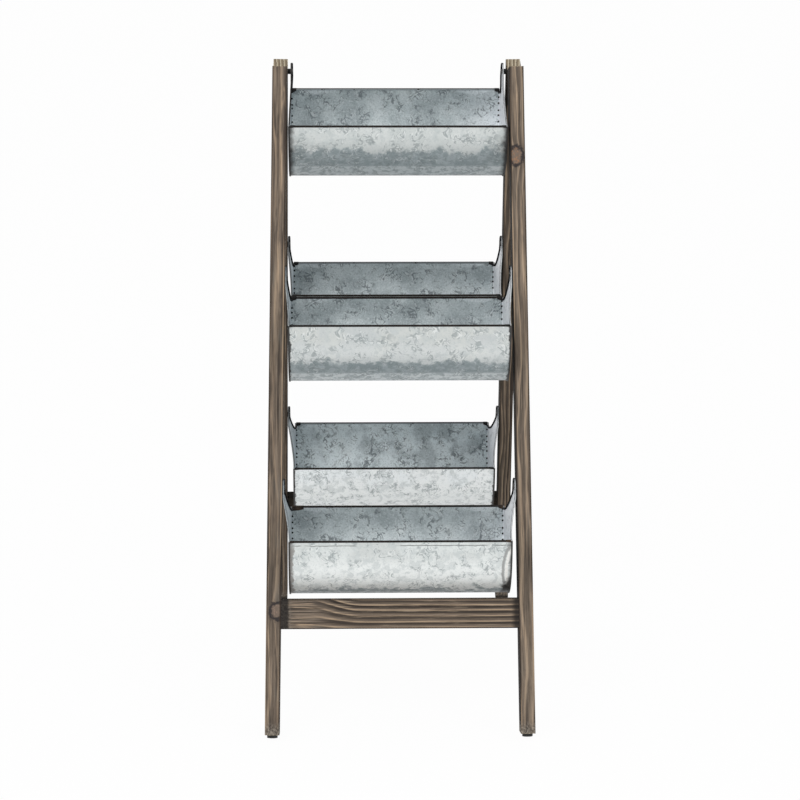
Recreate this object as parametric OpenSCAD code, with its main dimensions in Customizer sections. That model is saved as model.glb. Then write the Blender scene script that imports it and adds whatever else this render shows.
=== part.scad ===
// Ladder planter: two ladder frames hinged at the top carry five sheet-metal troughs.
// The origin is on the floor in the middle of the stance. X runs along the troughs and -Y is the front.
// All lengths are in millimetres and all angles in degrees.

/* [Legs] */
// Length of a leg along its own slope
leg_length = 1010; // [1010:5:1150]
// Width of a leg, seen from the front
leg_w = 22; // [20:0.5:28]
// Depth of a leg, seen from the side
leg_depth = 38; // [34:0.5:46]
// Lean of each frame from upright
lean = 16.5; // [15:0.25:19]
// How much wider a frame's legs stand at the feet than at the top
splay = 28; // [12:1:34]
// Radius of the eased edges of legs and crossbars
edge_r = 1.2; // [0.5:0.1:2.5]

/* [Crossbars] */
// Height of a crossbar along the slope
bar_h = 45; // [36:1:50]
// Thickness of a crossbar
bar_t = 20; // [16:0.5:28]
// Gap down the slope between the low troughs' swing and a crossbar
bar_clear = 3.2; // [2.8:0.1:10]
// Set-back of the crossbar from the legs' outer faces
bar_setback = 1; // [0:0.5:4]

/* [Feet] */
// Radius of a foot glide
glide_r = 8; // [6:0.25:10]
// Thickness of a foot glide
glide_t = 6; // [5:0.25:9]
// Rounding of a glide's lower edge
glide_round = 0.8; // [0.4:0.1:1.5]
// Depth to which a glide's contact edge is worn flat on the floor
glide_wear = 0.6; // [0.3:0.1:0.9]
// Radius of a glide's nail
glide_nail_r = 1.25; // [1:0.05:2]
// Length of a glide's nail in the wood
glide_nail_len = 18; // [10:1:25]

/* [Troughs] */
// Length of a trough over its end seams
trough_len = 334; // [280:1:400]
// Depth of a trough from front to back over the sheet
trough_depth = 184; // [160:1:190]
// Height of a trough from its rim to its underside
trough_height = 106; // [98:0.5:108]
// Thickness of the galvanised sheet
sheet_t = 0.8; // [0.6:0.1:1.2]
// Gap on each side between a trough and the legs at the top of the frame
trough_side_clear = 1.25; // [0.8:0.05:3]
// Radius of the rim rods
rim_r = 1.6; // [1.3:0.1:2.2]
// Width of the rolled seam round each end, along the trough
seam_w = 2.4; // [2:0.1:4]
// Height by which the end seam stands out from the sheet
seam_proud = 1.3; // [0.6:0.1:1.4]
// Set-back of an end plate behind its seam
end_recess = 0.8; // [0.3:0.1:1.2]

/* [Ears] */
// Drop from the pivot to the trough's rim
rim_drop = 58; // [52:0.5:60]
// Radius of the rounded ear tip about the pivot
ear_r = 13; // [11:0.25:16]
// Height below the pivot down to which the ear stands upright
ear_neck = 16; // [14:0.5:20]
// Width of the folded hem round an ear
hem_w = 2.2; // [1.5:0.1:3]
// Thickness of the folded hem
hem_t = 1.8; // [1.4:0.1:2.2]
// Length trimmed from the thin ends of the ear's flares
ear_trim = 5; // [3:0.25:8]

/* [Hanging] */
// Distance of the top trough's pivot from the leg's top end, along the leg
top_pivot_s = 12; // [11:0.5:20]
// Distance of the middle troughs' pivots from the leg's top end
mid_pivot_s = 314; // [310:1:340]
// Distance of the low troughs' pivots from the leg's foot, along the leg
low_pivot_up = 373; // [371:1:400]
// Radius of a pivot screw's shank
screw_r = 2; // [1.6:0.05:2.4]
// Depth of a pivot screw in the wood
screw_in_wood = 16; // [12:0.5:18]
// Radius of a pivot screw's head
screw_head_r = 3.7; // [3.4:0.1:5]
// Height of a pivot screw's head
screw_head_h = 2.2; // [1.6:0.1:3]
// Radius of the washers and spacers on the pivot screws
washer_r = 4.2; // [3.6:0.1:6]
// Thickness of a washer at the middle and low troughs
washer_t = 1; // [0.8:0.1:1.6]
// Length of a spacer at the top trough
spacer_len = 4.8; // [3:0.1:6]
// Radial running clearance of an ear's hole on its screw
pivot_clear = 0.08; // [0.03:0.01:0.1]

/* [Trough tilt] */
// Tilt of the top trough, front rim down
top_tilt = 9.5; // [-15:0.5:15]
// Tilt of the middle front trough, front rim down
mid_front_tilt = 0; // [-8:0.5:8]
// Tilt of the middle back trough, front rim down
mid_back_tilt = 4; // [-8:0.5:8]
// Tilt of the low front trough, front rim down
low_front_tilt = -1.5; // [-15:0.5:15]
// Tilt of the low back trough, front rim down
low_back_tilt = 8; // [-15:0.5:15]

/* [Top hinges] */
// Width of a hinge across the leg
hinge_w = 18; // [14:0.5:19]
// Length of a hinge leaf down the leg
leaf_len = 60; // [48:1:80]
// Thickness of a hinge leaf
leaf_t = 1.4; // [1:0.1:1.8]
// Radius of the hinge knuckles
knuckle_r = 2.7; // [2.3:0.1:3.5]
// Gap between a knuckle and the wood
knuckle_clear = 0.3; // [0.2:0.05:0.8]
// Gap between neighbouring knuckles
knuckle_gap = 0.3; // [0.2:0.05:0.6]
// Radius of the hinge pin
hinge_pin_r = 1.2; // [0.9:0.05:1.5]
// Radial running clearance of the pin in its knuckles
hinge_pin_clear = 0.05; // [0.03:0.01:0.1]
// Radius of a hinge screw's shank
hinge_screw_r = 1.4; // [1:0.05:1.6]
// Radius of a hinge screw's flush head
hinge_screw_head_r = 2.8; // [2.3:0.1:3.2]
// Length of a hinge screw in the wood
hinge_screw_len = 11; // [8:0.5:12]
// Distance of the first hinge screw from the leg's top end
hinge_first_screw = 12; // [9:0.5:13]
// Distance between hinge screws down the leaf
hinge_screw_pitch = 16; // [12:0.5:17]
// Sideways stagger of the hinge screws from the leaf's middle
hinge_screw_stagger = 3; // [0:0.25:4]

/* [Crossbar screws] */
// Radius of a crossbar screw's shank
bar_screw_r = 2; // [1.5:0.1:2.5]
// Radius of a crossbar screw's flush head
bar_screw_head_r = 4; // [3.5:0.1:4.5]
// Length of a crossbar screw
bar_screw_len = 50; // [40:1:60]
// Distance between the two screws of a crossbar joint
bar_screw_pitch = 22; // [16:0.5:24]
// Radial clearance of screws and nails in the wood
pilot_clear = 0.05; // [0.02:0.01:0.1]
// Gap left between pieces that seat on each other
seat_gap = 0.1; // [0.05:0.01:0.2]

/* [Hidden] */
FRONT = 1;
BACK = -1;
LEFT = -1;
RIGHT = 1;
round_fn = 64;
small_fn = 32;
// Overlap of joined solids, margin of a cut past a face, and a size beyond the whole object
eps = 0.01;
cut = 1;
far = 3000;
// Shape of a pan-head screw: narrowing of its head, its point and its cross slots
head_taper = 0.7;
point_taper = 0.25;
point_len = 2 * screw_r;
slot_w = screw_r / 3;
wood_colour = [0.45, 0.39, 0.33];
sheet_colour = [0.72, 0.75, 0.77];
rim_colour = [0.24, 0.20, 0.17];
black_colour = [0.06, 0.06, 0.06];
screw_colour = [0.20, 0.19, 0.18];
glide_colour = [0.08, 0.08, 0.09];

// Gap between a frame's legs at the top, and the angle of each leg from the frame's middle line
top_gap = trough_len + 2 * trough_side_clear;
splay_angle = asin(splay / 2 / leg_length);
// The hinge axis is level with the legs' facing top corners, a knuckle away from the wood
half_gap = (knuckle_r + knuckle_clear) / cos(lean);
pin_y = knuckle_r + knuckle_clear;
pin_z = half_gap * sin(lean);
// Height of a foot's middle above the floor, worn glide included
glide_corner_r = glide_r - glide_round;
glide_corner_t = glide_t - glide_round;
glide_reach = glide_corner_r * sin(lean) + glide_corner_t * cos(lean) + glide_round;
foot_mid_z = glide_reach - glide_wear;
leg_drop = leg_length * cos(splay_angle) * cos(lean) - leg_w / 2 * sin(splay_angle) * cos(lean);
apex_z = foot_mid_z + leg_drop - leg_depth / 2 * sin(lean);
// Trough sections, measured from the pivot
pan_r = trough_depth / 2;
pan_centre = rim_drop + trough_height - pan_r;
half_len = trough_len / 2;
end_face = half_len - end_recess;
rim_y = pan_r - sheet_t / 2;
// Each side of an ear sweeps in one arc from the rounded tip, which it touches, down to the rim's corner
flare_y = pan_r - rim_r;
flare_r = (pow(flare_y, 2) + pow(rim_drop, 2) - pow(ear_r, 2)) / (2 * (rim_drop + ear_r));
flare_z = flare_r - rim_drop;
ear_foot = flare_y - ear_trim;
// The web below the tip starts just under the line where the flares touch it
ear_shoulder = flare_z * ear_foot / flare_y - sheet_t;
// The ear folds away from its plate just above the rim, and back upright inside its neck
fold_z = -rim_drop + sheet_t / 2;
bend_z = -ear_neck + 3 * sheet_t;
hem_out = (hem_t - sheet_t) / 2;
// The crossbar's middle lies below the low troughs, clear of their seams as they swing
low_pivot_s = leg_length - low_pivot_up;
swing_r = rim_drop + trough_height + seam_proud;
bar_s = low_pivot_s + swing_r + bar_clear + bar_h / 2;

function gap_at(s) = top_gap + 2 * s * tan(splay_angle);
function pivot_y(s) = half_gap + s * sin(lean) + leg_depth / 2 * cos(lean);
function pivot_z(s) = apex_z - s * cos(lean) + leg_depth / 2 * sin(lean);
// Outer face of an ear's pad, as far from the legs as the washer or spacer needs
function pad_x(s, sleeve) = gap_at(s) / 2 - sleeve - 2 * seat_gap;

// Placing

// A frame's own axes: -Z runs down the slope from the facing top corners, -Y points outwards
module on_frame(side) {
    mirror([0, side == BACK ? 1 : 0, 0])
        translate([0, -half_gap, apex_z])
            rotate([-lean, 0, 0])
                children();
}

// A leg's own axes: its inner, facing top corner is the origin
module on_leg(hand) {
    mirror([hand == LEFT ? 1 : 0, 0, 0])
        translate([top_gap / 2, 0, 0])
            rotate([0, -splay_angle, 0])
                children();
}

module on_both_hands() {
    children();
    mirror([1, 0, 0])
        children();
}

module at_pivot(side, s, tilt) {
    translate([0, -side * pivot_y(s), pivot_z(s)])
        rotate([tilt, 0, 0])
            children();
}

// Extrudes an outline drawn in Y and Z along X, from the given X
module along_x(from, length) {
    translate([from, 0, 0])
        rotate([90, 0, 90])
            linear_extrude(height = length)
                children();
}

// Turns a piece drawn along +Z so that it points along +X
module point_x() {
    rotate([0, 90, 0])
        children();
}

// Wood

module eased_rectangle(w, h) {
    translate([edge_r, 0])
        square([w - 2 * edge_r, h]);
    translate([0, edge_r])
        square([w, h - 2 * edge_r]);
    for (x = [edge_r, w - edge_r], y = [edge_r, h - edge_r])
        translate([x, y])
            circle(r = edge_r, $fn = small_fn);
}

module leg_blank() {
    translate([0, -leg_depth, -leg_length])
        linear_extrude(height = leg_length)
            eased_rectangle(leg_w, leg_depth);
}

// Holes for the pivot screws that hang troughs at the given distances down the leg
module pivot_holes(distances) {
    for (s = distances)
        translate([gap_at(s) / 2 - cut, -leg_depth / 2, -s])
            point_x()
                cylinder(r = screw_r + pilot_clear, h = screw_in_wood + seat_gap + cut, $fn = small_fn);
}

module bar_screw_places() {
    for (step = [-0.5, 0.5])
        translate([leg_w, -leg_depth + bar_setback + bar_t / 2, -bar_s + step * bar_screw_pitch])
            rotate([0, -90, 0])
                children();
}

module countersunk(r, head_r, length) {
    cylinder(r = r, h = length, $fn = small_fn);
    cylinder(r1 = head_r, r2 = r, h = head_r - r, $fn = small_fn);
}

module hinge_screw_places() {
    for (i = [0 : 2])
        translate([(i % 2 == 0 ? 1 : -1) * hinge_screw_stagger, leaf_t, -hinge_first_screw - i * hinge_screw_pitch])
            rotate([90, 0, 0])
                children();
}

module at_hinge() {
    translate([(top_gap + leg_w) / 2, 0, 0])
        children();
}

module leg(side, hand, distances) {
    color(wood_colour)
        on_frame(side)
            difference() {
                on_leg(hand)
                    leg_blank();
                mirror([hand == LEFT ? 1 : 0, 0, 0])
                    pivot_holes(distances);
                on_leg(hand)
                    translate([leg_w / 2, -leg_depth / 2, -leg_length - cut])
                        cylinder(r = glide_nail_r + pilot_clear, h = glide_nail_len + 2 * cut, $fn = small_fn);
                on_leg(hand)
                    bar_screw_places()
                        translate([0, 0, -eps])
                            countersunk(bar_screw_r + pilot_clear, bar_screw_head_r + pilot_clear, leg_w * 2);
                mirror([hand == LEFT ? 1 : 0, 0, 0])
                    at_hinge()
                        hinge_screw_places()
                            cylinder(r = hinge_screw_r + pilot_clear, h = leaf_t + hinge_screw_len + cut, $fn = small_fn);
            }
}

module crossbar(side) {
    color(wood_colour)
        on_frame(side)
            difference() {
                translate([-top_gap, -leg_depth + bar_setback + bar_t, -bar_s - bar_h / 2])
                    rotate([90, 0, 90])
                        mirror([1, 0, 0])
                            linear_extrude(height = 2 * top_gap)
                                eased_rectangle(bar_t, bar_h);
                on_both_hands()
                    on_leg(RIGHT)
                        translate([0, -far / 2, -far / 2])
                            cube(far);
                on_both_hands()
                    on_leg(RIGHT)
                        bar_screw_places()
                            cylinder(r = bar_screw_r + pilot_clear, h = bar_screw_len + cut, $fn = small_fn);
            }
}

module crossbar_screws(side) {
    color(screw_colour)
        on_frame(side)
            on_both_hands()
                on_leg(RIGHT)
                    bar_screw_places()
                        countersunk(bar_screw_r, bar_screw_head_r, bar_screw_len);
}

// Feet

module glide_outline() {
    square([glide_corner_r, glide_t]);
    square([glide_r, glide_corner_t]);
    translate([glide_corner_r, glide_corner_t])
        circle(r = glide_round, $fn = small_fn);
}

module foot_glides(side) {
    color(glide_colour)
        intersection() {
            on_frame(side)
                on_both_hands()
                    on_leg(RIGHT)
                        translate([leg_w / 2, -leg_depth / 2, -leg_length])
                            union() {
                                mirror([0, 0, 1])
                                    rotate_extrude($fn = round_fn)
                                        glide_outline();
                                cylinder(r = glide_nail_r, h = glide_nail_len, $fn = small_fn);
                            }
            translate([-far / 2, -far / 2, 0])
                cube(far);
        }
}

// Hinges

knuckle_len = (hinge_w - 2 * knuckle_gap) / 3;
knuckle_starts = [-hinge_w / 2, -knuckle_len / 2, hinge_w / 2 - knuckle_len];

// One leaf with its knuckles, lying on the wood; own names the knuckles that belong to it
module hinge_leaf(own) {
    notch_z = pin_z - knuckle_r - knuckle_gap;
    difference() {
        union() {
            translate([-hinge_w / 2, 0, -leaf_len])
                cube([hinge_w, leaf_t, leaf_len + notch_z]);
            for (i = own)
                translate([knuckle_starts[i], 0, notch_z - cut])
                    cube([knuckle_len, leaf_t, pin_z - notch_z + cut]);
            for (i = own)
                translate([knuckle_starts[i], pin_y, pin_z])
                    point_x()
                        cylinder(r = knuckle_r, h = knuckle_len, $fn = small_fn);
        }
        translate([-hinge_w, pin_y, pin_z])
            point_x()
                cylinder(r = hinge_pin_r + hinge_pin_clear, h = 2 * hinge_w, $fn = small_fn);
        hinge_screw_places()
            translate([0, 0, -eps])
                countersunk(hinge_screw_r + pilot_clear, hinge_screw_head_r + pilot_clear, leaf_t + cut);
    }
}

module hinge_leaves(side, own) {
    color(black_colour)
        on_frame(side)
            on_both_hands()
                at_hinge()
                    hinge_leaf(own);
}

module hinge_screws(side) {
    color(screw_colour)
        on_frame(side)
            on_both_hands()
                at_hinge()
                    hinge_screw_places()
                        countersunk(hinge_screw_r, hinge_screw_head_r, leaf_t + hinge_screw_len);
}

module hinge_pins() {
    color(screw_colour)
        on_both_hands()
            translate([(top_gap + leg_w - hinge_w) / 2, 0, apex_z])
                point_x()
                    cylinder(r = hinge_pin_r, h = hinge_w, $fn = small_fn);
}

// Troughs, drawn about their pivot

// The U of the sheet, grown outwards by the given amount
module pan_outline(grow) {
    intersection() {
        union() {
            translate([0, -pan_centre])
                circle(r = pan_r + grow, $fn = 2 * round_fn);
            translate([-pan_r - grow, -pan_centre])
                square([2 * (pan_r + grow), pan_centre]);
        }
        translate([-far / 2, -rim_drop - far])
            square(far);
    }
}

// The hollow of the U, inside the sheet and open at the rim
module pan_hollow() {
    translate([0, -pan_centre])
        circle(r = pan_r - sheet_t, $fn = 2 * round_fn);
    translate([-pan_r + sheet_t, -pan_centre])
        square([trough_depth - 2 * sheet_t, pan_centre]);
}

module trough_pan(side, s, tilt) {
    color(sheet_colour)
        at_pivot(side, s, tilt)
            along_x(-half_len + seam_w, trough_len - 2 * seam_w)
                difference() {
                    pan_outline(0);
                    pan_hollow();
                }
}

// Rods folded over the front and back edges of the sheet
module trough_rims(side, s, tilt) {
    color(rim_colour)
        at_pivot(side, s, tilt)
            along_x(-half_len + seam_w, trough_len - 2 * seam_w)
                for (y = [-rim_y, rim_y])
                    translate([y, -rim_drop])
                        difference() {
                            circle(r = rim_r, $fn = small_fn);
                            translate([-sheet_t / 2, -2 * rim_r])
                                square([sheet_t, 2 * rim_r]);
                        }
}

// Outline of the ear, drawn smaller by the given inset: the round tip, and a web that flares to the rim
module ear_outline(inset) {
    foot_y = ear_foot - inset;
    foot_z = -rim_drop - hem_w - inset;
    circle(r = ear_r - inset, $fn = round_fn);
    difference() {
        polygon([
            [0, -sheet_t], [foot_y, ear_shoulder], [foot_y, foot_z], [-foot_y, foot_z], [-foot_y, ear_shoulder]
        ]);
        for (side = [-1, 1])
            translate([side * flare_y, flare_z])
                circle(r = flare_r + inset, $fn = 4 * round_fn);
    }
}

// Outline of the end plate with its ear
module end_outline() {
    ear_outline(0);
    pan_outline(-sheet_t / 2);
}

// Outline of the hem along the ear's sides and the plate's top edge
module hem_outline() {
    difference() {
        end_outline();
        ear_outline(hem_w);
        translate([-far / 2, -rim_drop - hem_w - far])
            square(far);
    }
}

// Bent sheet as wide as the trough: upright at the plate, leaning to the pad, upright again
module bent_sheet(s, sleeve, out, thickness) {
    plate_x = end_face + out;
    ear_x = pad_x(s, sleeve) + out;
    side_view = [
        [plate_x, -far], [plate_x, fold_z], [ear_x, bend_z], [ear_x, far],
        [ear_x - thickness, far], [ear_x - thickness, bend_z],
        [plate_x - thickness, fold_z], [plate_x - thickness, -far]
    ];
    rotate([90, 0, 0])
        linear_extrude(height = far, center = true)
            polygon(side_view);
}

// Rolled seam that grips the end of the pan and the edge of the plate
module end_seam() {
    along_x(half_len - seam_w, seam_w)
        difference() {
            pan_outline(seam_proud);
            pan_hollow();
        }
}

// Right-hand end: plate, seam, leaning ear and the ear's upright pad with its pivot hole
module trough_end_shape(s, sleeve) {
    end_seam();
    difference() {
        union() {
            intersection() {
                along_x(0, far)
                    end_outline();
                bent_sheet(s, sleeve, 0, sheet_t);
            }
            intersection() {
                along_x(0, far)
                    hem_outline();
                bent_sheet(s, sleeve, hem_out, hem_t);
            }
        }
        point_x()
            cylinder(r = screw_r + pivot_clear, h = trough_len, $fn = small_fn);
    }
}

module trough_end(side, s, tilt, hand, sleeve) {
    color(sheet_colour)
        at_pivot(side, s, tilt)
            mirror([hand == LEFT ? 1 : 0, 0, 0])
                trough_end_shape(s, sleeve);
}

// Pan-head screw along +X; its head's underside is at X = 0
module pan_head_screw(length) {
    half_h = screw_head_h / 2;
    point_x()
        difference() {
            union() {
                cylinder(r = screw_r, h = length - point_len, $fn = small_fn);
                translate([0, 0, length - point_len])
                    cylinder(r1 = screw_r, r2 = screw_r * point_taper, h = point_len, $fn = small_fn);
                mirror([0, 0, 1])
                    cylinder(r = screw_head_r, h = half_h, $fn = small_fn);
                translate([0, 0, -screw_head_h])
                    cylinder(r1 = screw_head_r * head_taper, r2 = screw_head_r, h = half_h, $fn = small_fn);
            }
            for (turn = [0, 90])
                rotate([0, 0, turn])
                    translate([-screw_head_r / 2, -slot_w / 2, -screw_head_h - cut])
                        cube([screw_head_r, slot_w, half_h + cut]);
        }
}

module pivot_screws(side, s, sleeve) {
    head_x = pad_x(s, sleeve) - sheet_t - seat_gap;
    color(screw_colour)
        at_pivot(side, s, 0)
            on_both_hands()
                translate([head_x, 0, 0])
                    pan_head_screw(gap_at(s) / 2 + screw_in_wood - head_x);
}

// Washers or spacers between the ears and the legs
module sleeves(side, s, sleeve) {
    color(black_colour)
        at_pivot(side, s, 0)
            on_both_hands()
                translate([gap_at(s) / 2 - sleeve - seat_gap, 0, 0])
                    point_x()
                        difference() {
                            cylinder(r = washer_r, h = sleeve, $fn = small_fn);
                            translate([0, 0, -cut])
                                cylinder(r = screw_r + pivot_clear, h = sleeve + 2 * cut, $fn = small_fn);
                        }
}

front_pivots = [mid_pivot_s, low_pivot_s];
back_pivots = [top_pivot_s, mid_pivot_s, low_pivot_s];

leg(FRONT, LEFT, front_pivots);  // front_leg_left
leg(FRONT, RIGHT, front_pivots);  // front_leg_right
crossbar(FRONT);  // front_crossbar
crossbar_screws(FRONT);  // front_crossbar_screws
foot_glides(FRONT);  // front_foot_glides
leg(BACK, LEFT, back_pivots);  // back_leg_left
leg(BACK, RIGHT, back_pivots);  // back_leg_right
crossbar(BACK);  // back_crossbar
crossbar_screws(BACK);  // back_crossbar_screws
foot_glides(BACK);  // back_foot_glides
hinge_leaves(FRONT, [0, 2]);  // front_hinge_leaves
hinge_leaves(BACK, [1]);  // back_hinge_leaves
hinge_pins();
hinge_screws(FRONT);  // front_hinge_screws
hinge_screws(BACK);  // back_hinge_screws

trough_pan(BACK, top_pivot_s, top_tilt);  // top_trough_pan
trough_rims(BACK, top_pivot_s, top_tilt);  // top_trough_rims
trough_end(BACK, top_pivot_s, top_tilt, LEFT, spacer_len);  // top_trough_end_left
trough_end(BACK, top_pivot_s, top_tilt, RIGHT, spacer_len);  // top_trough_end_right
pivot_screws(BACK, top_pivot_s, spacer_len);  // top_pivot_screws
sleeves(BACK, top_pivot_s, spacer_len);  // top_spacers

trough_pan(FRONT, mid_pivot_s, mid_front_tilt);  // mid_front_trough_pan
trough_rims(FRONT, mid_pivot_s, mid_front_tilt);  // mid_front_trough_rims
trough_end(FRONT, mid_pivot_s, mid_front_tilt, LEFT, washer_t);  // mid_front_trough_end_left
trough_end(FRONT, mid_pivot_s, mid_front_tilt, RIGHT, washer_t);  // mid_front_trough_end_right
pivot_screws(FRONT, mid_pivot_s, washer_t);  // mid_front_pivot_screws
sleeves(FRONT, mid_pivot_s, washer_t);  // mid_front_washers

trough_pan(BACK, mid_pivot_s, mid_back_tilt);  // mid_back_trough_pan
trough_rims(BACK, mid_pivot_s, mid_back_tilt);  // mid_back_trough_rims
trough_end(BACK, mid_pivot_s, mid_back_tilt, LEFT, washer_t);  // mid_back_trough_end_left
trough_end(BACK, mid_pivot_s, mid_back_tilt, RIGHT, washer_t);  // mid_back_trough_end_right
pivot_screws(BACK, mid_pivot_s, washer_t);  // mid_back_pivot_screws
sleeves(BACK, mid_pivot_s, washer_t);  // mid_back_washers

trough_pan(FRONT, low_pivot_s, low_front_tilt);  // low_front_trough_pan
trough_rims(FRONT, low_pivot_s, low_front_tilt);  // low_front_trough_rims
trough_end(FRONT, low_pivot_s, low_front_tilt, LEFT, washer_t);  // low_front_trough_end_left
trough_end(FRONT, low_pivot_s, low_front_tilt, RIGHT, washer_t);  // low_front_trough_end_right
pivot_screws(FRONT, low_pivot_s, washer_t);  // low_front_pivot_screws
sleeves(FRONT, low_pivot_s, washer_t);  // low_front_washers

trough_pan(BACK, low_pivot_s, low_back_tilt);  // low_back_trough_pan
trough_rims(BACK, low_pivot_s, low_back_tilt);  // low_back_trough_rims
trough_end(BACK, low_pivot_s, low_back_tilt, LEFT, washer_t);  // low_back_trough_end_left
trough_end(BACK, low_pivot_s, low_back_tilt, RIGHT, washer_t);  // low_back_trough_end_right
pivot_screws(BACK, low_pivot_s, washer_t);  // low_back_pivot_screws
sleeves(BACK, low_pivot_s, washer_t);  // low_back_washers
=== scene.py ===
"""The look of the ladder planter: stained pine ladder frames and weathered galvanised troughs."""
import math
import random

import bmesh
import bpy
from mathutils import Matrix, Vector


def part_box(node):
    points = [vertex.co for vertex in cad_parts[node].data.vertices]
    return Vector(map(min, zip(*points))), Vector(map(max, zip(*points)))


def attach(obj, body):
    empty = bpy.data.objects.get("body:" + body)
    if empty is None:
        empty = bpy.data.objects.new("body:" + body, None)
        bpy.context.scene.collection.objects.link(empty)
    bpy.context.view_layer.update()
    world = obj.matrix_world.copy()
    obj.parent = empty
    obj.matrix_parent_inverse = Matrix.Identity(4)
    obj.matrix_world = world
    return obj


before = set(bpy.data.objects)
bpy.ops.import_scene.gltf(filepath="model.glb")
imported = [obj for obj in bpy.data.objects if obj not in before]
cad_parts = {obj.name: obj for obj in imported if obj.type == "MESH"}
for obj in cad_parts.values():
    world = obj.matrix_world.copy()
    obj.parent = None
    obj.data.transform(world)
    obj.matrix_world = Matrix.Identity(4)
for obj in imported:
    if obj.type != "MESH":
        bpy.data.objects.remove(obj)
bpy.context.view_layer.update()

# Sizes repeated from the part, in millimetres and radians
MM = 0.001
LEAN = math.radians(16.5)
LEG_W, LEG_DEPTH, LEG_LENGTH = 22, 38, 1010
LEG_SPREAD = 14
SPLAY = math.asin(LEG_SPREAD / LEG_LENGTH)
TOP_GAP = 336.5
KNUCKLE_REACH = 3
HALF_GAP = KNUCKLE_REACH / math.cos(LEAN)
BAR_HEIGHT, BAR_THICK, BAR_SETBACK, BAR_DOWN = 45, 20, 1, 828
HALF_TROUGH = 167
PAN_R = 92
SHEET = 0.8
RIM_DROP = 58
PAN_CENTRE = 72
RIM_R = 1.6
SEAM_W = 2.4
PLATE_X = 166.2
EAR_R = 13
EAR_NECK = 16
BEND_TOP = -EAR_NECK + 3 * SHEET
HEM_W = 2.2
FLARE_Y = PAN_R - RIM_R
FLARE_R = (FLARE_Y ** 2 + RIM_DROP ** 2 - EAR_R ** 2) / (2 * (RIM_DROP + EAR_R))
FLARE_Z = FLARE_R - RIM_DROP
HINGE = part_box("hinge_pins")
APEX_Z = (HINGE[0][2] + HINGE[1][2]) / 2

# Each trough: how far its front rim dips, where its ears' pads stand, and how its sheet is toned, partly
# weathering and partly painted light. Angles of the grey band, paler underside and dark lowest line,
# which are painted reflection and painted shade, are in degrees under the horizontal, as the floor and
# the light see it. The low back trough's brighter zinc, bloom and inside, and pale_low, are painted light
# against the shade the lower troughs sit in; lit_end is painted light, and crease a painted shade line.
TROUGHS = {
    "top": dict(
        dip=9.5, pad_x=163.4, grey_from=26, grey_to=47, dark_from=68, fade=8.0, fade_dark=0.95,
        zinc=(0.70, 0.73, 0.72), bloom=(0.61, 0.65, 0.64), inside=(0.485, 0.545, 0.558),
        bare_and_shine=0.9, pale_low=0, crease=0, rubbed_left=0.0, lit_end=0.75),
    "mid_front": dict(
        dip=0, pad_x=171.4, grey_from=29, grey_to=46, dark_from=69, fade=1.5, fade_dark=0.9,
        zinc=(0.58, 0.61, 0.61), bloom=(0.66, 0.68, 0.65), inside=(0.485, 0.545, 0.558),
        bare_and_shine=0, pale_low=0.42, crease=0, rubbed_left=0.8, lit_end=0.0),
    "mid_back": dict(
        dip=4, pad_x=171.4, grey_from=27, grey_to=46, dark_from=66, fade=2.0, fade_dark=0.9,
        zinc=(0.70, 0.73, 0.72), bloom=(0.64, 0.68, 0.68), inside=(0.520, 0.580, 0.595),
        bare_and_shine=0.8, pale_low=0, crease=0, rubbed_left=0.3, lit_end=0.0),
    "low_front": dict(
        dip=-1.5, pad_x=175.9, grey_from=50, grey_to=120, dark_from=58, fade=7.0, fade_dark=0.6,
        zinc=(0.65, 0.68, 0.67), bloom=(0.80, 0.84, 0.83), inside=(0.530, 0.590, 0.605),
        bare_and_shine=0, pale_low=0.85, crease=0.9, rubbed_left=1.0, lit_end=0.3),
    "low_back": dict(
        dip=8, pad_x=175.9, grey_from=88, grey_to=120, dark_from=62, fade=1.5, fade_dark=0.8,
        zinc=(0.97, 1.00, 1.00), bloom=(0.93, 0.98, 1.00), inside=(0.720, 0.790, 0.810),
        bare_and_shine=0.7, pale_low=0.6, crease=0, rubbed_left=0.5, lit_end=0.0),
}
WEAR_AND_LIGHT = ("Fade", "Fade_Dark", "Pale_Low", "Crease", "Lit_End", "Zinc", "Bloom", "Inside")
BANDS = ("Grey_From", "Grey_To", "Dark_From")
KNOCKED_TROUGH = "low_front"

# Camera, fitted to the outline of the photograph
IMAGE_PX = 800
FOCAL_PX = 2437.8
SENSOR_MM = 36
CAMERA_AT = Vector((-0.0911, -3.7291, 1.4855))
YAW, PITCH, ROLL = 0.026, 0.272, 0.004
NEAR_CLIP, FAR_CLIP = 0.05, 60


def place_camera():
    camera = bpy.data.objects.new("camera", bpy.data.cameras.new("camera"))
    bpy.context.scene.collection.objects.link(camera)
    camera.data.sensor_width = SENSOR_MM
    camera.data.sensor_fit = "HORIZONTAL"
    camera.data.lens = SENSOR_MM * FOCAL_PX / IMAGE_PX
    camera.data.clip_start = NEAR_CLIP
    camera.data.clip_end = FAR_CLIP
    level = math.cos(PITCH)
    ahead = Vector((math.sin(YAW) * level, math.cos(YAW) * level, -math.sin(PITCH)))
    side = Vector((math.cos(YAW), -math.sin(YAW), 0))
    up = side.cross(ahead)
    across = math.cos(ROLL) * side + math.sin(ROLL) * up
    upward = -math.sin(ROLL) * side + math.cos(ROLL) * up
    turn = Matrix((across, upward, -ahead)).transposed()
    camera.matrix_world = Matrix.Translation(CAMERA_AT) @ turn.to_4x4()
    bpy.context.scene.camera = camera


# Short ways to build node trees

VALUE = "NodeSocketFloat"
VECTOR = "NodeSocketVector"
COLOUR = "NodeSocketColor"

# Where a mixing node keeps its factor, its two colours and its result, and a range node its limits
MIX_INPUTS = (0, 6, 7)
MIX_OUTPUT = 2
STEP_INPUTS = ("From Min", "From Max", "To Min", "To Max")


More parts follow.
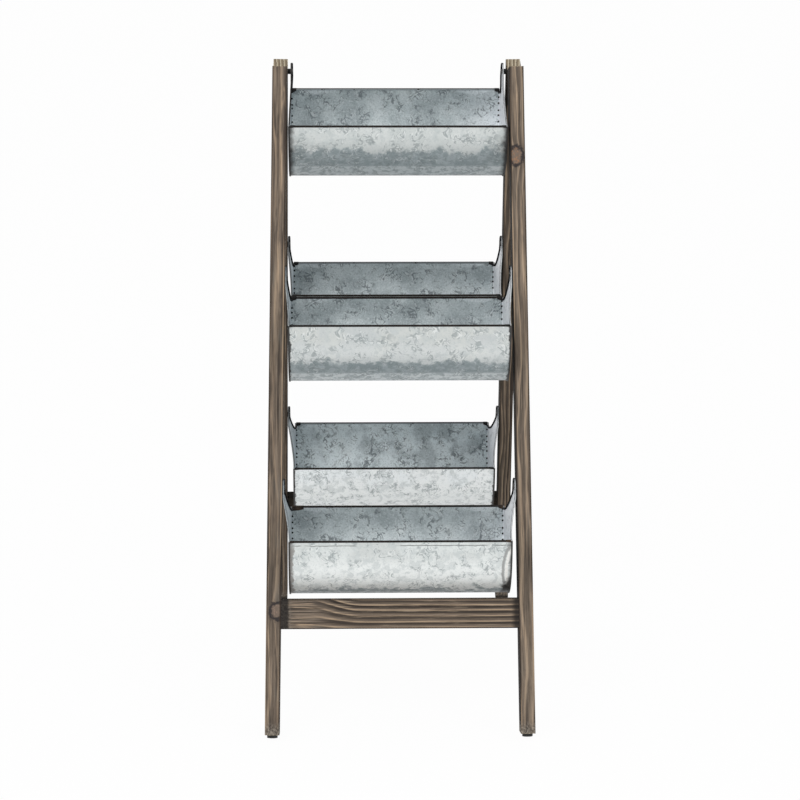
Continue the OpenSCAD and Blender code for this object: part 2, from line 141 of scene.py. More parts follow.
class Shade:
    """A node tree and short ways to add and join its nodes."""

    def __init__(self, tree):
        self.tree = tree
        self.nodes = tree.nodes

    def put(self, socket, value):
        if isinstance(value, bpy.types.NodeSocket):
            self.tree.links.new(value, socket)
        elif socket.type == "RGBA":
            socket.default_value = (*value[:3], 1)
        else:
            socket.default_value = value

    def fill(self, sockets, **values):
        """Puts each value into the socket of its name, with spaces for underscores."""
        for name, value in values.items():
            self.put(sockets[name.replace("_", " ")], value)

    def add(self, kind, settings=None, **inputs):
        node = self.nodes.new(kind)
        for name, value in (settings or {}).items():
            setattr(node, name, value)
        self.fill(node.inputs, **inputs)
        return node

    def math(self, kind, a, b=0.0, c=0.0):
        node = self.add("ShaderNodeMath", {"operation": kind})
        for socket, value in zip(node.inputs, (a, b, c)):
            self.put(socket, value)
        return node.outputs[0]

    def plus(self, a, b):
        return self.math("ADD", a, b)

    def minus(self, a, b):
        return self.math("SUBTRACT", a, b)

    def times(self, found, *others):
        for other in others:
            found = self.math("MULTIPLY", found, other)
        return found

    def roughened(self, value, noise, reach):
        """The value moved by a noise about one half, times the reach."""
        return self.math("MULTIPLY_ADD", self.minus(noise, 0.5), reach, value)

    def apart(self, a, b=0.0):
        """How far a lies from b, either way."""
        return self.math("ABSOLUTE", self.minus(a, b))

    def length(self, a, b):
        return self.math("SQRT", self.plus(self.times(a, a), self.times(b, b)))

    def step(self, value, low, high, to_low=0.0, to_high=1.0):
        """Smooth step from to_low at low to to_high at high."""
        node = self.add("ShaderNodeMapRange", {"interpolation_type": "SMOOTHSTEP"}, Value=value)
        for name, item in zip(STEP_INPUTS, (low, high, to_low, to_high)):
            self.put(node.inputs[name], item)
        return node.outputs[0]

    def band(self, value, low, high, soft):
        """1 between low and high, with soft edges."""
        inner = self.step(value, low - soft, low + soft)
        return self.times(inner, self.step(value, high + soft, high - soft))

    def mix(self, how_much, a, b):
        node = self.add("ShaderNodeMix", {"data_type": "RGBA"})
        for socket, value in zip(MIX_INPUTS, (how_much, a, b)):
            self.put(node.inputs[socket], value)
        return node.outputs[MIX_OUTPUT]

    def layered(self, base, *layers):
        """The base with layers laid over it in turn: each a colour, then masks and shares to multiply."""
        for colour, *masks in layers:
            base = self.mix(self.times(*masks), base, colour)
        return base

    def noise(self, where, scale, detail, rough, distort=0.0):
        settings = dict(Vector=where, Scale=scale, Detail=detail, Roughness=rough, Distortion=distort)
        return self.add("ShaderNodeTexNoise", **settings).outputs[0]

    def split(self, vector):
        return self.add("ShaderNodeSeparateXYZ", Vector=vector).outputs

    def join(self, x, y, z):
        node = self.add("ShaderNodeCombineXYZ")
        for socket, value in zip(node.inputs, (x, y, z)):
            self.put(socket, value)
        return node.outputs[0]

    def grained(self, vector, seed, across, along, detail, rough):
        """Noise drawn out along Z: its scale across and along is per unit of the vector."""
        x, y, z = self.split(vector)
        moved = self.math("MULTIPLY_ADD", x, across, seed)
        where = self.join(moved, self.times(y, across), self.times(z, along))
        return self.noise(where, 1.0, detail, rough)

    def ramp(self, value, stops):
        node = self.add("ShaderNodeValToRGB", Fac=value)
        elements = node.color_ramp.elements
        while len(elements) < len(stops):
            elements.new(0.5)
        for element, (place, colour) in zip(elements, stops):
            element.position = place
            element.color = (*colour, 1)
        return node.outputs[0]

    def bump(self, height, depth_mm, strength):
        node = self.add("ShaderNodeBump", Strength=strength, Distance=depth_mm * MM, Height=height)
        return node.outputs[0]


def plain(*labels):
    """Inputs of a group that hold a value, and start at 0 where no one gives it."""
    return [(label, VALUE, 0.0) for label in labels]


def new_group(name, inputs, outputs):
    tree = bpy.data.node_groups.new(name, "ShaderNodeTree")
    for label, kind, value in inputs:
        socket = tree.interface.new_socket(name=label, in_out="INPUT", socket_type=kind)
        if value is not None:
            socket.default_value = value
    for label in outputs:
        kind = COLOUR if label == "Color" else VALUE
        tree.interface.new_socket(name=label, in_out="OUTPUT", socket_type=kind)
    shade = Shade(tree)
    given = shade.nodes.new("NodeGroupInput").outputs
    out = shade.nodes.new("NodeGroupOutput").inputs
    return shade, given, out


def new_material(name):
    material = bpy.data.materials.new(name)
    material.use_nodes = True
    shade = Shade(material.node_tree)
    return material, shade, shade.nodes["Principled BSDF"]


def use_group(shade, group, **inputs):
    node = shade.add("ShaderNodeGroup")
    node.node_tree = group
    shade.fill(node.inputs, **inputs)
    return node.outputs


def object_space(shade):
    return shade.add("ShaderNodeTexCoord").outputs["Object"]


def own_space(shade, axes):
    """Object coordinates brought into a piece's own axes, in millimetres."""
    node = shade.add("ShaderNodeMapping", {"vector_type": "TEXTURE"}, Vector=object_space(shade))
    shade.fill(node.inputs, Location=axes.to_translation(), Rotation=axes.to_euler(), Scale=(MM, MM, MM))
    return node.outputs[0]


# Stained pine

EARLY_WOOD = (0.222, 0.174, 0.134)
MID_WOOD = (0.140, 0.108, 0.082)
LATE_WOOD = (0.026, 0.021, 0.019)
TAN_WOOD = (0.460, 0.338, 0.232)
GREY_WOOD = (0.225, 0.202, 0.172)
PALE_WOOD = (0.520, 0.420, 0.320)
BACK_FRAME_DARK = (0.045, 0.036, 0.026)
INNER_STAIN_AND_SHADE = (0.022, 0.018, 0.016)
ARRIS_STAIN = (0.046, 0.034, 0.027)
END_STAIN = (0.020, 0.018, 0.017)
DARK_STREAK, PALE_STREAK = (0.056, 0.045, 0.038), (0.350, 0.268, 0.192)
DARK_BLOTCH = (0.082, 0.069, 0.060)
DARK_FIBRE, PALE_FIBRE = (0.060, 0.049, 0.041), (0.420, 0.330, 0.242)
DARK_SCUFF, PALE_SCUFF = (0.070, 0.062, 0.054), (0.360, 0.315, 0.262)
KNOT_HEART = (0.29, 0.20, 0.16, 1.0)
KNOT_SCUFF = (0.190, 0.145, 0.115)
KNOT_CRACK = (0.036, 0.032, 0.034)
END_PALE, END_TAN = (0.760, 0.670, 0.500), (0.330, 0.265, 0.180)
END_LATE, END_ARRIS = (0.150, 0.115, 0.080), (0.060, 0.048, 0.036)
RING_TONES = [
    (0.0, EARLY_WOOD), (0.20, MID_WOOD), (0.40, LATE_WOOD), (0.70, LATE_WOOD), (0.82, TAN_WOOD),
    (0.93, TAN_WOOD), (1.0, EARLY_WOOD)]

# Noises of the wood: scale across and along the grain, per millimetre, then detail and roughness
WOOD_NOISES = dict(
    wander=(0.02, 0.004, 2.0, 0.5), ragged=(0.3, 0.012, 4.0, 0.6), streaks=(0.20, 0.0042, 3.0, 0.55),
    blotches=(0.05, 0.013, 3.0, 0.55), fibres=(0.55, 0.014, 4.0, 0.7), lumps=(0.16, 0.16, 4.0, 0.65),
    scuffs=(0.55, 0.30, 4.0, 0.7))
LINE_NOISE, LINE_SEED = (0.085, 0.0026, 1.0, 0.5), 40.0

# Sizes in the wood, in millimetres, and how flat the rings lie in the end grain. Edges are pairs of
# distances past a batten's own sides or ends, where a tone starts and where it is full.
LEG_WANDER, BAR_WANDER = 26.0, 6.0
ARRIS_EDGE, SIDE_EDGE, END_EDGE, END_ARRIS_EDGE = (-2.7, -1.5), (-0.9, -0.3), (-0.6, -0.1), (-3.6, -1.6)
RING_RAGGED, END_RAGGED = 2.6, 3.0
FAN_REACH = 85.0
STRIPES_REACH = 45.0
END_RING, END_FLAT = 5.4, 0.30
FOOT_SCUFF = (22.0, 4.0)
NO_STAIN = -50.0
FAR_BELOW = -9999.0

# How tall and lumpy the knot is, and how strongly and how far the rings swing round it
KNOT_TALL = 0.80
KNOT_LUMPS = 1.2
KNOT_PULL, SWING_POWER, SWING_MOST = 5.0, 1.6, 3.0

# How much the palest years fade their rings
RING_FADE = 0.28

# How much light the wood gives back, and its relief as depth in millimetres and strength
PINE_GLOSS = 0.08
PINE_RELIEF = (0.6, 0.5)


def make_pine_group():
    """Sawn, stained pine. Vector is in millimetres in a batten's own axes, with Z along the grain."""
    shade, given, out = new_group("stained_pine", [
        ("Vector", VECTOR, None), ("Knot", VECTOR, None), ("Heart", COLOUR, KNOT_HEART),
        ("Wander", VALUE, LEG_WANDER), ("Stripes From", VALUE, FAR_BELOW),
        ("Stain Low", VALUE, NO_STAIN), ("Stain High", VALUE, NO_STAIN),
        *plain("Seed", "Half X", "Half Y", "Half Z", "Pith X", "Pith Y", "Ring", "Stripes", "Fan"),
        *plain("Knot Size", "Inner Side", "Inner Dark", "Darkness", "Pale")],
        ("Color", "Roughness", "Height"))
    vector, seed = given["Vector"], given["Seed"]
    half_x, half_z = given["Half X"], given["Half Z"]
    x, y, z = shade.split(vector)
    wander, ragged, streaks, blotches, fibres, lumps, scuffs = [
        shade.grained(vector, seed, *scale) for scale in WOOD_NOISES.values()]
    lines = shade.grained(vector, shade.plus(seed, LINE_SEED), *LINE_NOISE)

    # Growth rings about the pith, which wander along the batten and swing round the knot
    knot_x, _, knot_z = shade.split(given["Knot"])
    from_knot = shade.length(shade.minus(x, knot_x), shade.times(shade.minus(z, knot_z), KNOT_TALL))
    size = given["Knot Size"]
    near = shade.math("DIVIDE", size, shade.plus(from_knot, 0.5))
    swing = shade.math("MINIMUM", shade.math("POWER", near, SWING_POWER), SWING_MOST)
    from_pith = [shade.minus(x, given["Pith X"]), shade.minus(y, given["Pith Y"])]
    radius = shade.roughened(shade.length(*from_pith), wander, given["Wander"])
    radius = shade.math("MULTIPLY_ADD", swing, KNOT_PULL, radius)
    fanned = shade.times(
        shade.step(z, shade.plus(given["Stripes From"], FAN_REACH), given["Stripes From"]),
        shade.step(x, half_x, shade.times(half_x, -1.0), 0.2, 1.0), given["Fan"])
    radius = shade.roughened(shade.minus(radius, fanned), ragged, RING_RAGGED)
    turns = shade.math("DIVIDE", radius, given["Ring"])
    ring = shade.math("FRACT", turns)
    whole = shade.math("FLOOR", turns)
    year = shade.add("ShaderNodeTexWhiteNoise", {"noise_dimensions": "1D"}, W=whole).outputs[0]
    rings = shade.mix(shade.times(year, RING_FADE), shade.ramp(ring, RING_TONES), EARLY_WOOD)
    shown = shade.step(shade.minus(z, given["Stripes From"]), 0.0, STRIPES_REACH)
    shown = shade.times(given["Stripes"], shown)

    # Long streaks, thin tan lines and greyed patches, with the rings over them
    on_line = shade.step(shade.apart(lines, 0.5), 0.026, 0.008)
    wood = shade.layered(
        EARLY_WOOD,
        (GREY_WOOD, shade.step(blotches, 0.46, 0.32), 0.8),
        (DARK_STREAK, shade.step(streaks, 0.52, 0.62), 0.88),
        (PALE_STREAK, shade.step(streaks, 0.48, 0.38), 0.65),
        (DARK_BLOTCH, shade.step(blotches, 0.50, 0.60), 0.62),
        (TAN_WOOD, on_line, shade.step(blotches, 0.58, 0.48), 0.85),
        (rings, shown), (PALE_WOOD, given["Pale"]))

    # Fibres, and the knot: a reddish, scuffed heart in a dark, cracked ring
    size_here = shade.times(size, shade.roughened(1.0, lumps, KNOT_LUMPS))
    heart = shade.step(from_knot, size_here, shade.times(size_here, 0.80))
    crack = shade.times(
        shade.step(from_knot, shade.times(size_here, 1.42), shade.times(size_here, 1.12)),
        shade.step(from_knot, shade.times(size_here, 0.72), size_here))
    heart_wood = shade.mix(shade.step(scuffs, 0.38, 0.48), given["Heart"], KNOT_SCUFF)
    wood = shade.layered(
        wood,
        (DARK_FIBRE, shade.step(fibres, 0.47, 0.66), 0.7),
        (PALE_FIBRE, shade.step(fibres, 0.46, 0.30), 0.55),
        (heart_wood, heart, 0.85), (KNOT_CRACK, crack, 0.9))

    # The inner side is darkened, partly stain and partly painted shade, most on the right legs. Stain
    # gathers along the arrises, where handling has also worn it to tan, partly as a painted highlight
    past_x = shade.minus(shade.apart(x), half_x)
    past_y = shade.minus(shade.apart(y), given["Half Y"])
    corner = shade.plus(past_x, past_y)
    arris_wood = shade.mix(shade.step(lines, 0.57, 0.66), ARRIS_STAIN, TAN_WOOD)
    inner = shade.step(shade.minus(shade.times(x, given["Inner Side"]), half_x), *SIDE_EDGE)
    wood = shade.layered(
        wood, (arris_wood, shade.step(corner, *ARRIS_EDGE), 0.78), (INNER_STAIN_AND_SHADE, inner, given["Inner Dark"]))

    # The foot end is scuffed, end grain shows its own rings, and stain soaks in from both ends. Darkness,
    # given to the back frame, darkens the whole piece: on the back crossbar it is painted shade from the
    # low back trough above it
    low_end = shade.plus(z, half_z)
    high_end = shade.minus(half_z, z)
    scuffed = shade.mix(shade.step(scuffs, 0.44, 0.58), DARK_SCUFF, PALE_SCUFF)
    end = shade.step(shade.minus(shade.apart(z), half_z), *END_EDGE)
    end_radius = shade.length(from_pith[0], shade.times(from_pith[1], END_FLAT))
    end_radius = shade.roughened(end_radius, ragged, END_RAGGED)
    end_ring = shade.math("FRACT", shade.math("DIVIDE", end_radius, END_RING))
    end_rings = shade.layered(
        END_PALE, (END_TAN, shade.step(end_ring, 0.10, 0.42)),
        (END_LATE, shade.step(end_ring, 0.62, 0.96)),
        (END_ARRIS, shade.step(corner, *END_ARRIS_EDGE), 0.8))
    low, high = given["Stain Low"], given["Stain High"]
    stained = shade.plus(
        shade.step(low_end, shade.plus(low, 3.0), shade.minus(low, 2.0)),
        shade.step(high_end, shade.plus(high, 6.0), shade.minus(high, 4.0), 0.0, 0.95))
    wood = shade.layered(
        wood, (scuffed, shade.step(low_end, *FOOT_SCUFF), 0.8), (end_rings, end),
        (END_STAIN, stained, 0.90), (BACK_FRAME_DARK, given["Darkness"]))

    late = shade.band(ring, 0.50, 0.80, 0.06)
    height = shade.minus(shade.times(fibres, 0.5), shade.times(late, shown, 0.3))
    height = shade.minus(height, shade.times(crack, 0.8))
    shade.fill(out, Color=wood, Roughness=shade.step(fibres, 0.2, 0.8, 0.62, 0.84), Height=height)
    return shade.tree


def pine_material(name, axes, **values):
    material, shade, shader = new_material(name)
    got = use_group(shade, PINE, Vector=own_space(shade, axes), **values)
    shade.fill(
        shader.inputs, Base_Color=got["Color"], Roughness=got["Roughness"], Specular_IOR_Level=PINE_GLOSS,
        Normal=shade.bump(got["Height"], *PINE_RELIEF))
    return material


# Weathered galvanised sheet, with painted light and shade

# Painted reflection in the outside's grey band and underside, and painted light (pale) low on it
GREY_REFLECTION, UNDERSIDE_REFLECTION, PALE_PAINTED_LIGHT = (0.350, 0.405, 0.420), (0.720, 0.765, 0.775), (0.950, 0.980, 0.970)
SEAM_DARK = (0.012, 0.011, 0.010)

# The pan's outside, from the bloom down to the lowest line, which is painted shade; the band's tones are
# painted reflection, the glint a painted highlight and the crease tone a painted shade line
BLOOM_MOTTLE, BLOOM_GRAIN = (0.530, 0.578, 0.580), (0.440, 0.490, 0.495)
BAND_PALE, BAND_GRAIN = (0.480, 0.535, 0.550), (0.240, 0.280, 0.292)
LOWEST_SHADE_LINE = (0.035, 0.044, 0.050)
OUTER_MARK, OUTER_GLINT = (0.262, 0.302, 0.312), (0.900, 0.920, 0.915)
RIM_CREASE_SHADE = (0.200, 0.212, 0.205)

# The pan's inside: the wedge tone is a painted reflection, the sheen tone painted light at the right end,
# and the glint tone a painted highlight
INNER_CLOUD, INNER_PALE = (0.300, 0.345, 0.362), (0.640, 0.690, 0.700)
WEDGE_REFLECTION, END_PAINTED_LIGHT = (0.720, 0.770, 0.800), (0.860, 0.900, 0.930)
INNER_GRAIN, INNER_FROST = (0.262, 0.300, 0.312), (0.740, 0.780, 0.790)
INNER_MARK, INNER_GLINT = (0.150, 0.172, 0.184), (0.780, 0.820, 0.830)

# The knock near one end of a pan, in painted shade, a painted highlight and a near-black patch, and the
# dulled sheet at the other
KNOCK_SHADE, KNOCK_HIGHLIGHT = (0.300, 0.300, 0.295), (0.930, 0.920, 0.880)
NEAR_BLACK = (0.014, 0.013, 0.013)
DULLED = (0.240, 0.222, 0.205)

# The end plates: painted lit on the right, painted shaded on the left, and turned outwards
LIT_PLATE, LIT_CLOUD, LIT_GRAIN = (0.960, 0.970, 1.000), (0.900, 0.920, 0.960), (0.700, 0.730, 0.780)
SHADED_PLATE, SHADED_CLOUD, SHADED_GRAIN = (0.480, 0.540, 0.570), (0.360, 0.410, 0.440), (0.300, 0.330, 0.350)
BACK_PALE, BACK_GREY, BACK_MARK = (0.560, 0.600, 0.600), (0.330, 0.372, 0.385), (0.200, 0.230, 0.240)
PLATE_BLOT = (0.120, 0.135, 0.145)
SEAM_RUST = (0.026, 0.020, 0.016)

# Noises of the sheet: scale per millimetre, detail, roughness and distortion
SHEET_NOISES = dict(
    cloud=(0.024, 3.0, 0.55), grain=(0.42, 3.0, 0.6, 0.4), ragged=(0.085, 5.0, 0.62, 0.3),
    curls=(0.072, 1.6, 0.52, 1.1), clusters=(0.045, 2.0, 0.5), blots=(0.10, 2.6, 0.58, 1.0))
SEED_SHIFT = 97.0
MASKS = ("Scribble", "Glint", "Blot", "Cloud", "Grain", "Ragged")


def make_fleck_group():
    """Masks of what shows on old zinc: curled scribbles, dark blots, broad clouds and fine grain, and
    glints, which are painted highlights beside the scribbles.
    """
    shade, given, out = new_group(
        "zinc_flecks", [("Vector", VECTOR, None), *plain("Seed")], (*MASKS, "Height"))
    x, y, z = shade.split(given["Vector"])
    where = shade.join(shade.math("MULTIPLY_ADD", given["Seed"], SEED_SHIFT, x), y, z)
    cloud, grain, ragged, curls, clusters, blots = [
        shade.noise(where, *scale) for scale in SHEET_NOISES.values()]
    crowded = shade.step(clusters, 0.46, 0.56)
    scribble = shade.times(shade.step(shade.apart(curls, 0.5), 0.038, 0.014), crowded)
    glint = shade.times(shade.step(shade.apart(curls, 0.565), 0.026, 0.008), crowded)
    blot = shade.times(shade.step(blots, 0.555, 0.620), shade.step(clusters, 0.45, 0.58))
    dents = shade.plus(shade.times(cloud, 3.0), shade.times(ragged, 0.8))
    marks = shade.plus(shade.times(scribble, 0.30), shade.times(grain, 0.14))
    shade.fill(
        out, Scribble=scribble, Glint=glint, Blot=blot, Cloud=cloud, Grain=grain, Ragged=ragged,
        Height=shade.minus(dents, marks))
    return shade.tree


# Places on a pan, in millimetres: X from its middle, drop below the rim, and the reach of ragged edges
CLOUD_TEAR, MOTTLE_TEAR = 34.0, 40.0
UNDER_TEAR, BURNT_TEAR, CREASE_TEAR, DARK_PATCH_TEAR, DULL_TEAR = 12.0, 14.0, 5.0, 12.0, 26.0
RIM_CREASE_DROP, RIM_CREASE_WAVE = 5.2, 2.4
PALE_FROM, PALE_TO = 16.0, 46.0
SHEEN_FROM, SHEEN_TO = 95.0, 165.0
KNOCK_X, KNOCK_DROP, KNOCK_BOW = 153.5, 48.0, 0.0052
DARK_PATCH_X, DARK_PATCH_DROP, DARK_PATCH_TALL = 168.0, 106.0, 0.36
DARK_PATCH_CORE, DARK_PATCH_EDGE = 13.5, 19.0
DULL_X, DULL_EDGE = -161.0, -158.0
WEDGE_SLOPE, WEDGE_FALL = 0.24, 0.20

# Bands on a pan: from, to and softness, in millimetres down the pan or across the crease
KNOCK_DOWN, DULL_DOWN = (7.0, 84.0, 5.0), (8.0, 130.0, 6.0)
CREASE_ACROSS, RIDGE_ACROSS = (-2.0, 2.0, 1.0), (3.0, 7.0, 1.0)


def make_pan_group():
    """Tones of a trough's sheet, inside and out. Vector is in millimetres from the trough's pivot."""
    shade, given, out = new_group("pan_wear_and_light", [
        ("Vector", VECTOR, None), *plain(*MASKS, "Grey From", "Grey To", "Dark From"),
        *plain("Fade", "Fade Dark", "Dent", "Pale Low", "Crease", "Lit End"),
        ("Zinc", COLOUR, None), ("Bloom", COLOUR, None), ("Inside", COLOUR, None)],
        ("Color", "Roughness", "Metallic"))
    x, y, z = shade.split(given["Vector"])
    cloud, ragged, grain = given["Cloud"], given["Ragged"], given["Grain"]
    scribble, blot, glint = given["Scribble"], given["Blot"], given["Glint"]
    drop = shade.math("MULTIPLY_ADD", z, -1.0, -RIM_DROP)
    below = shade.math("MINIMUM", shade.plus(z, PAN_CENTRE), 0.0)
    radius = shade.length(y, below)
    outside = shade.step(radius, PAN_R - SHEET * 0.6, PAN_R - SHEET * 0.4)
    to_end = shade.minus(HALF_TROUGH, shade.apart(x))

    # Outside: zinc bloom over a ragged grey band, a paler underside and a dark lowest line. The band and
    # the underside are painted reflection, of the shaded floor below and the bright floor behind, and the
    # lowest line is painted shade
    bloom = shade.layered(
        given["Zinc"],
        (given["Bloom"], shade.step(cloud, 0.44, 0.62), 0.6),
        # painted light: the outside turns paler lower down, on all but the top trough
        (PALE_PAINTED_LIGHT, shade.step(drop, PALE_FROM, PALE_TO), given["Pale Low"]),
        (BLOOM_MOTTLE, shade.step(ragged, 0.49, 0.60), 0.45),
        (BLOOM_GRAIN, shade.step(grain, 0.50, 0.72), 0.35))
    band_reflection = shade.layered(
        BAND_PALE, (GREY_REFLECTION, shade.step(ragged, 0.42, 0.58)),
        (BAND_GRAIN, shade.step(grain, 0.52, 0.70), 0.5))
    under_reflection = shade.layered(UNDERSIDE_REFLECTION, (GREY_REFLECTION, shade.step(ragged, 0.46, 0.58), 0.70))
    torn = shade.roughened(shade.roughened(drop, cloud, CLOUD_TEAR), ragged, MOTTLE_TEAR)
    under = shade.roughened(drop, ragged, UNDER_TEAR)
    grey_from, grey_to, dark_from = given["Grey From"], given["Grey To"], given["Dark From"]
    in_grey = shade.step(torn, shade.minus(grey_from, 5.0), shade.plus(grey_from, 4.0))
    in_under = shade.step(under, shade.minus(grey_to, 1.5), shade.plus(grey_to, 1.5))
    lowest_shade = shade.step(under, shade.minus(dark_from, 1.0), shade.plus(dark_from, 6.0))
    crease_drop = shade.math("MULTIPLY_ADD", ragged, RIM_CREASE_WAVE, RIM_CREASE_DROP)
    near_crease = shade.step(shade.apart(drop, crease_drop), 0.95, 0.30)
    outer = shade.layered(
        bloom, (band_reflection, in_grey), (under_reflection, in_under), (LOWEST_SHADE_LINE, lowest_shade, 0.92),
        # glints are painted highlights beside the scribbles
        (OUTER_MARK, scribble, 0.58), (OUTER_MARK, blot, 0.50), (OUTER_GLINT, glint, 0.45),
        # a painted shade line along a crease just under the rim
        (RIM_CREASE_SHADE, near_crease, shade.step(cloud, 0.46, 0.54), given["Crease"]))

    # Inside: blue-grey with clouds, a pale wedge of painted reflection beside each end, painted light at
    # the right end, and glints that are painted highlights
    sheen_wedge = shade.times(
        shade.step(shade.minus(shade.times(to_end, WEDGE_SLOPE), drop), -1.5, 2.0),
        shade.step(shade.plus(shade.times(to_end, WEDGE_FALL), drop), 20.0, 14.0),
        shade.step(to_end, 14.0, 24.0))
    end_light = shade.times(shade.step(x, SHEEN_FROM, SHEEN_TO), shade.step(drop, 12.0, 50.0, 0.5, 1.0))
    inner = shade.layered(
        given["Inside"],
        (INNER_CLOUD, shade.step(cloud, 0.46, 0.64), 0.65),
        (INNER_PALE, shade.step(cloud, 0.48, 0.32), 0.6),
        (WEDGE_REFLECTION, sheen_wedge, 0.65), (END_PAINTED_LIGHT, end_light, given["Lit End"]),
        (INNER_GRAIN, shade.step(grain, 0.50, 0.70), 0.6),
        (INNER_FROST, shade.step(grain, 0.48, 0.32), 0.45),
        (INNER_MARK, scribble, 0.75), (INNER_MARK, blot, 0.75), (INNER_GLINT, glint, 0.35))

    # The sheet is darker beside the end seams
    from_seam = shade.roughened(shade.minus(to_end, SEAM_W), ragged, BURNT_TEAR)
    seam_darkening = shade.step(from_seam, given["Fade"], shade.times(given["Fade"], -0.2))
    seam_darkening = shade.times(seam_darkening, outside, given["Fade Dark"])

    # A knock near the right end, only painted: a grey crease in painted shade, a bright ridge as a painted
    # highlight, and a near-black patch below it
    from_waist = shade.minus(drop, KNOCK_DROP)
    bowed = shade.math("MULTIPLY_ADD", shade.times(from_waist, from_waist), KNOCK_BOW, KNOCK_X)
    from_crease = shade.roughened(shade.minus(x, bowed), ragged, CREASE_TEAR)
    front = shade.times(shade.step(y, 0.0, -5.0), outside, given["Dent"])
    tall = shade.times(shade.band(drop, *KNOCK_DOWN), front)
    crease = shade.band(from_crease, *CREASE_ACROSS)
    ridge_highlight = shade.band(from_crease, *RIDGE_ACROSS)
    dark_patch = shade.length(shade.minus(x, DARK_PATCH_X), shade.times(shade.minus(drop, DARK_PATCH_DROP), DARK_PATCH_TALL))
    dark_patch = shade.step(shade.roughened(dark_patch, ragged, DARK_PATCH_TEAR), DARK_PATCH_EDGE, DARK_PATCH_CORE)

    # The other end is dulled to a brownish grey beside its seam
    dulled = shade.step(shade.roughened(x, ragged, DULL_TEAR), DULL_EDGE, DULL_X)

    colour = shade.layered(
        inner, (outer, outside), (SEAM_DARK, seam_darkening),
        (KNOCK_SHADE, crease, tall, 0.80), (KNOCK_HIGHLIGHT, ridge_highlight, tall, 0.75), (NEAR_BLACK, dark_patch, front, 0.96),
        (DULLED, dulled, front, shade.band(drop, *DULL_DOWN), 0.75))
    metallic = shade.math("MULTIPLY_ADD", outside, 0.15, shade.step(seam_darkening, 0.0, 1.0, 0.35, 0.0))
    shade.fill(out, Color=colour, Roughness=shade.step(grain, 0.3, 0.7, 0.40, 0.56), Metallic=metallic)
    return shade.tree


def make_end_group():
    """Tones of a trough's end: plate, rolled seam and hemmed ear. Vector is as for the pan."""
    shade, given, out = new_group(
        "end_wear_and_light", [("Vector", VECTOR, None), *plain(*MASKS, "Pad X", "Rubbed Left")],
        ("Color", "Roughness", "Metallic"))
    x, y, z = shade.split(given["Vector"])
    from_middle, from_axis = shade.apart(x), shade.apart(y)

    # The seam is what stands outside the sheet's outline, and the hem follows the ear's edge
    below = shade.math("MINIMUM", shade.plus(z, PAN_CENTRE), 0.0)
    seam = shade.step(shade.length(y, below), PAN_R - SHEET * 0.4, PAN_R - SHEET * 0.1)
    in_flare = shade.length(shade.minus(from_axis, FLARE_Y), shade.minus(z, FLARE_Z))
    in_flare = shade.minus(in_flare, FLARE_R)
    in_tip = shade.minus(EAR_R, shade.length(from_axis, z))
    in_web = shade.math("LESS_THAN", z, shade.times(from_axis, FLARE_Z / FLARE_Y))
    inset = shade.plus(shade.times(in_flare, in_web), shade.times(in_tip, shade.minus(1.0, in_web)))
    to_left = shade.step(x, -1.0, 1.0, given["Rubbed Left"], 1.0)
    rubbed = shade.times(shade.step(y, 1.0, -7.0, 0.0, 0.75), to_left)
    hem = shade.times(
        shade.step(inset, HEM_W + 0.5, HEM_W - 0.2),
        shade.step(z, -RIM_DROP - 1.0, -RIM_DROP + 0.5), shade.minus(1.0, rubbed))
    dark = shade.math("MAXIMUM", seam, hem)

    # The plate leans out into the ear above the rim
    climb = shade.add("ShaderNodeMapRange", Value=z)
    for socket, value in zip(STEP_INPUTS, (-RIM_DROP, BEND_TOP, PLATE_X, given["Pad X"])):
        shade.put(climb.inputs[socket], value)
    outside = shade.step(shade.minus(from_middle, climb.outputs[0]), -SHEET * 0.75, -SHEET * 0.25)
    # The right plates are painted lit and the left ones painted shaded, with more metallic on the right
    on_right = shade.math("GREATER_THAN", x, 0.0)
    cloudy = shade.step(given["Cloud"], 0.44, 0.62)
    grainy = shade.step(given["Grain"], 0.50, 0.70, 0.0, 0.3)
    lit = shade.layered(LIT_PLATE, (LIT_CLOUD, cloudy, 0.5), (LIT_GRAIN, grainy))
    shaded = shade.layered(SHADED_PLATE, (SHADED_CLOUD, cloudy), (SHADED_GRAIN, grainy))
    back = shade.layered(
        BACK_PALE, (BACK_GREY, shade.step(given["Ragged"], 0.42, 0.60)),
        (BACK_MARK, given["Scribble"], 0.6))
    rust = shade.layered(SEAM_DARK, (SEAM_RUST, shade.step(given["Ragged"], 0.45, 0.62)))
    colour = shade.layered(
        shaded, (lit, on_right), (back, outside), (PLATE_BLOT, given["Blot"], 0.5), (rust, dark, 0.98))
    bright = shade.math("MULTIPLY_ADD", on_right, 0.25, 0.20)
    shade.fill(
        out, Color=colour, Roughness=shade.step(given["Grain"], 0.3, 0.7, 0.42, 0.60),
        Metallic=shade.times(bright, shade.minus(1.0, dark)))
    return shade.tree


# Relief of the sheet, as depth in millimetres and strength
SHEET_RELIEF = (0.8, 0.55)


def zinc_material(name, group, axes, seed, **values):
    material, shade, shader = new_material(name)
    where = own_space(shade, axes)
    flecks = use_group(shade, FLECKS, Vector=where, Seed=seed)
    masks = {label: flecks[label] for label in MASKS}
    got = use_group(shade, group, Vector=where, **masks, **values)
    shade.fill(
        shader.inputs, Base_Color=got["Color"], Roughness=got["Roughness"], Metallic=got["Metallic"],
        Normal=shade.bump(flecks["Height"], *SHEET_RELIEF))
    return material


# Detail and roughness of the noises in small finishes
PATCH_NOISE = (5.0, 0.6)
FINE_NOISE = (3.0, 0.6)


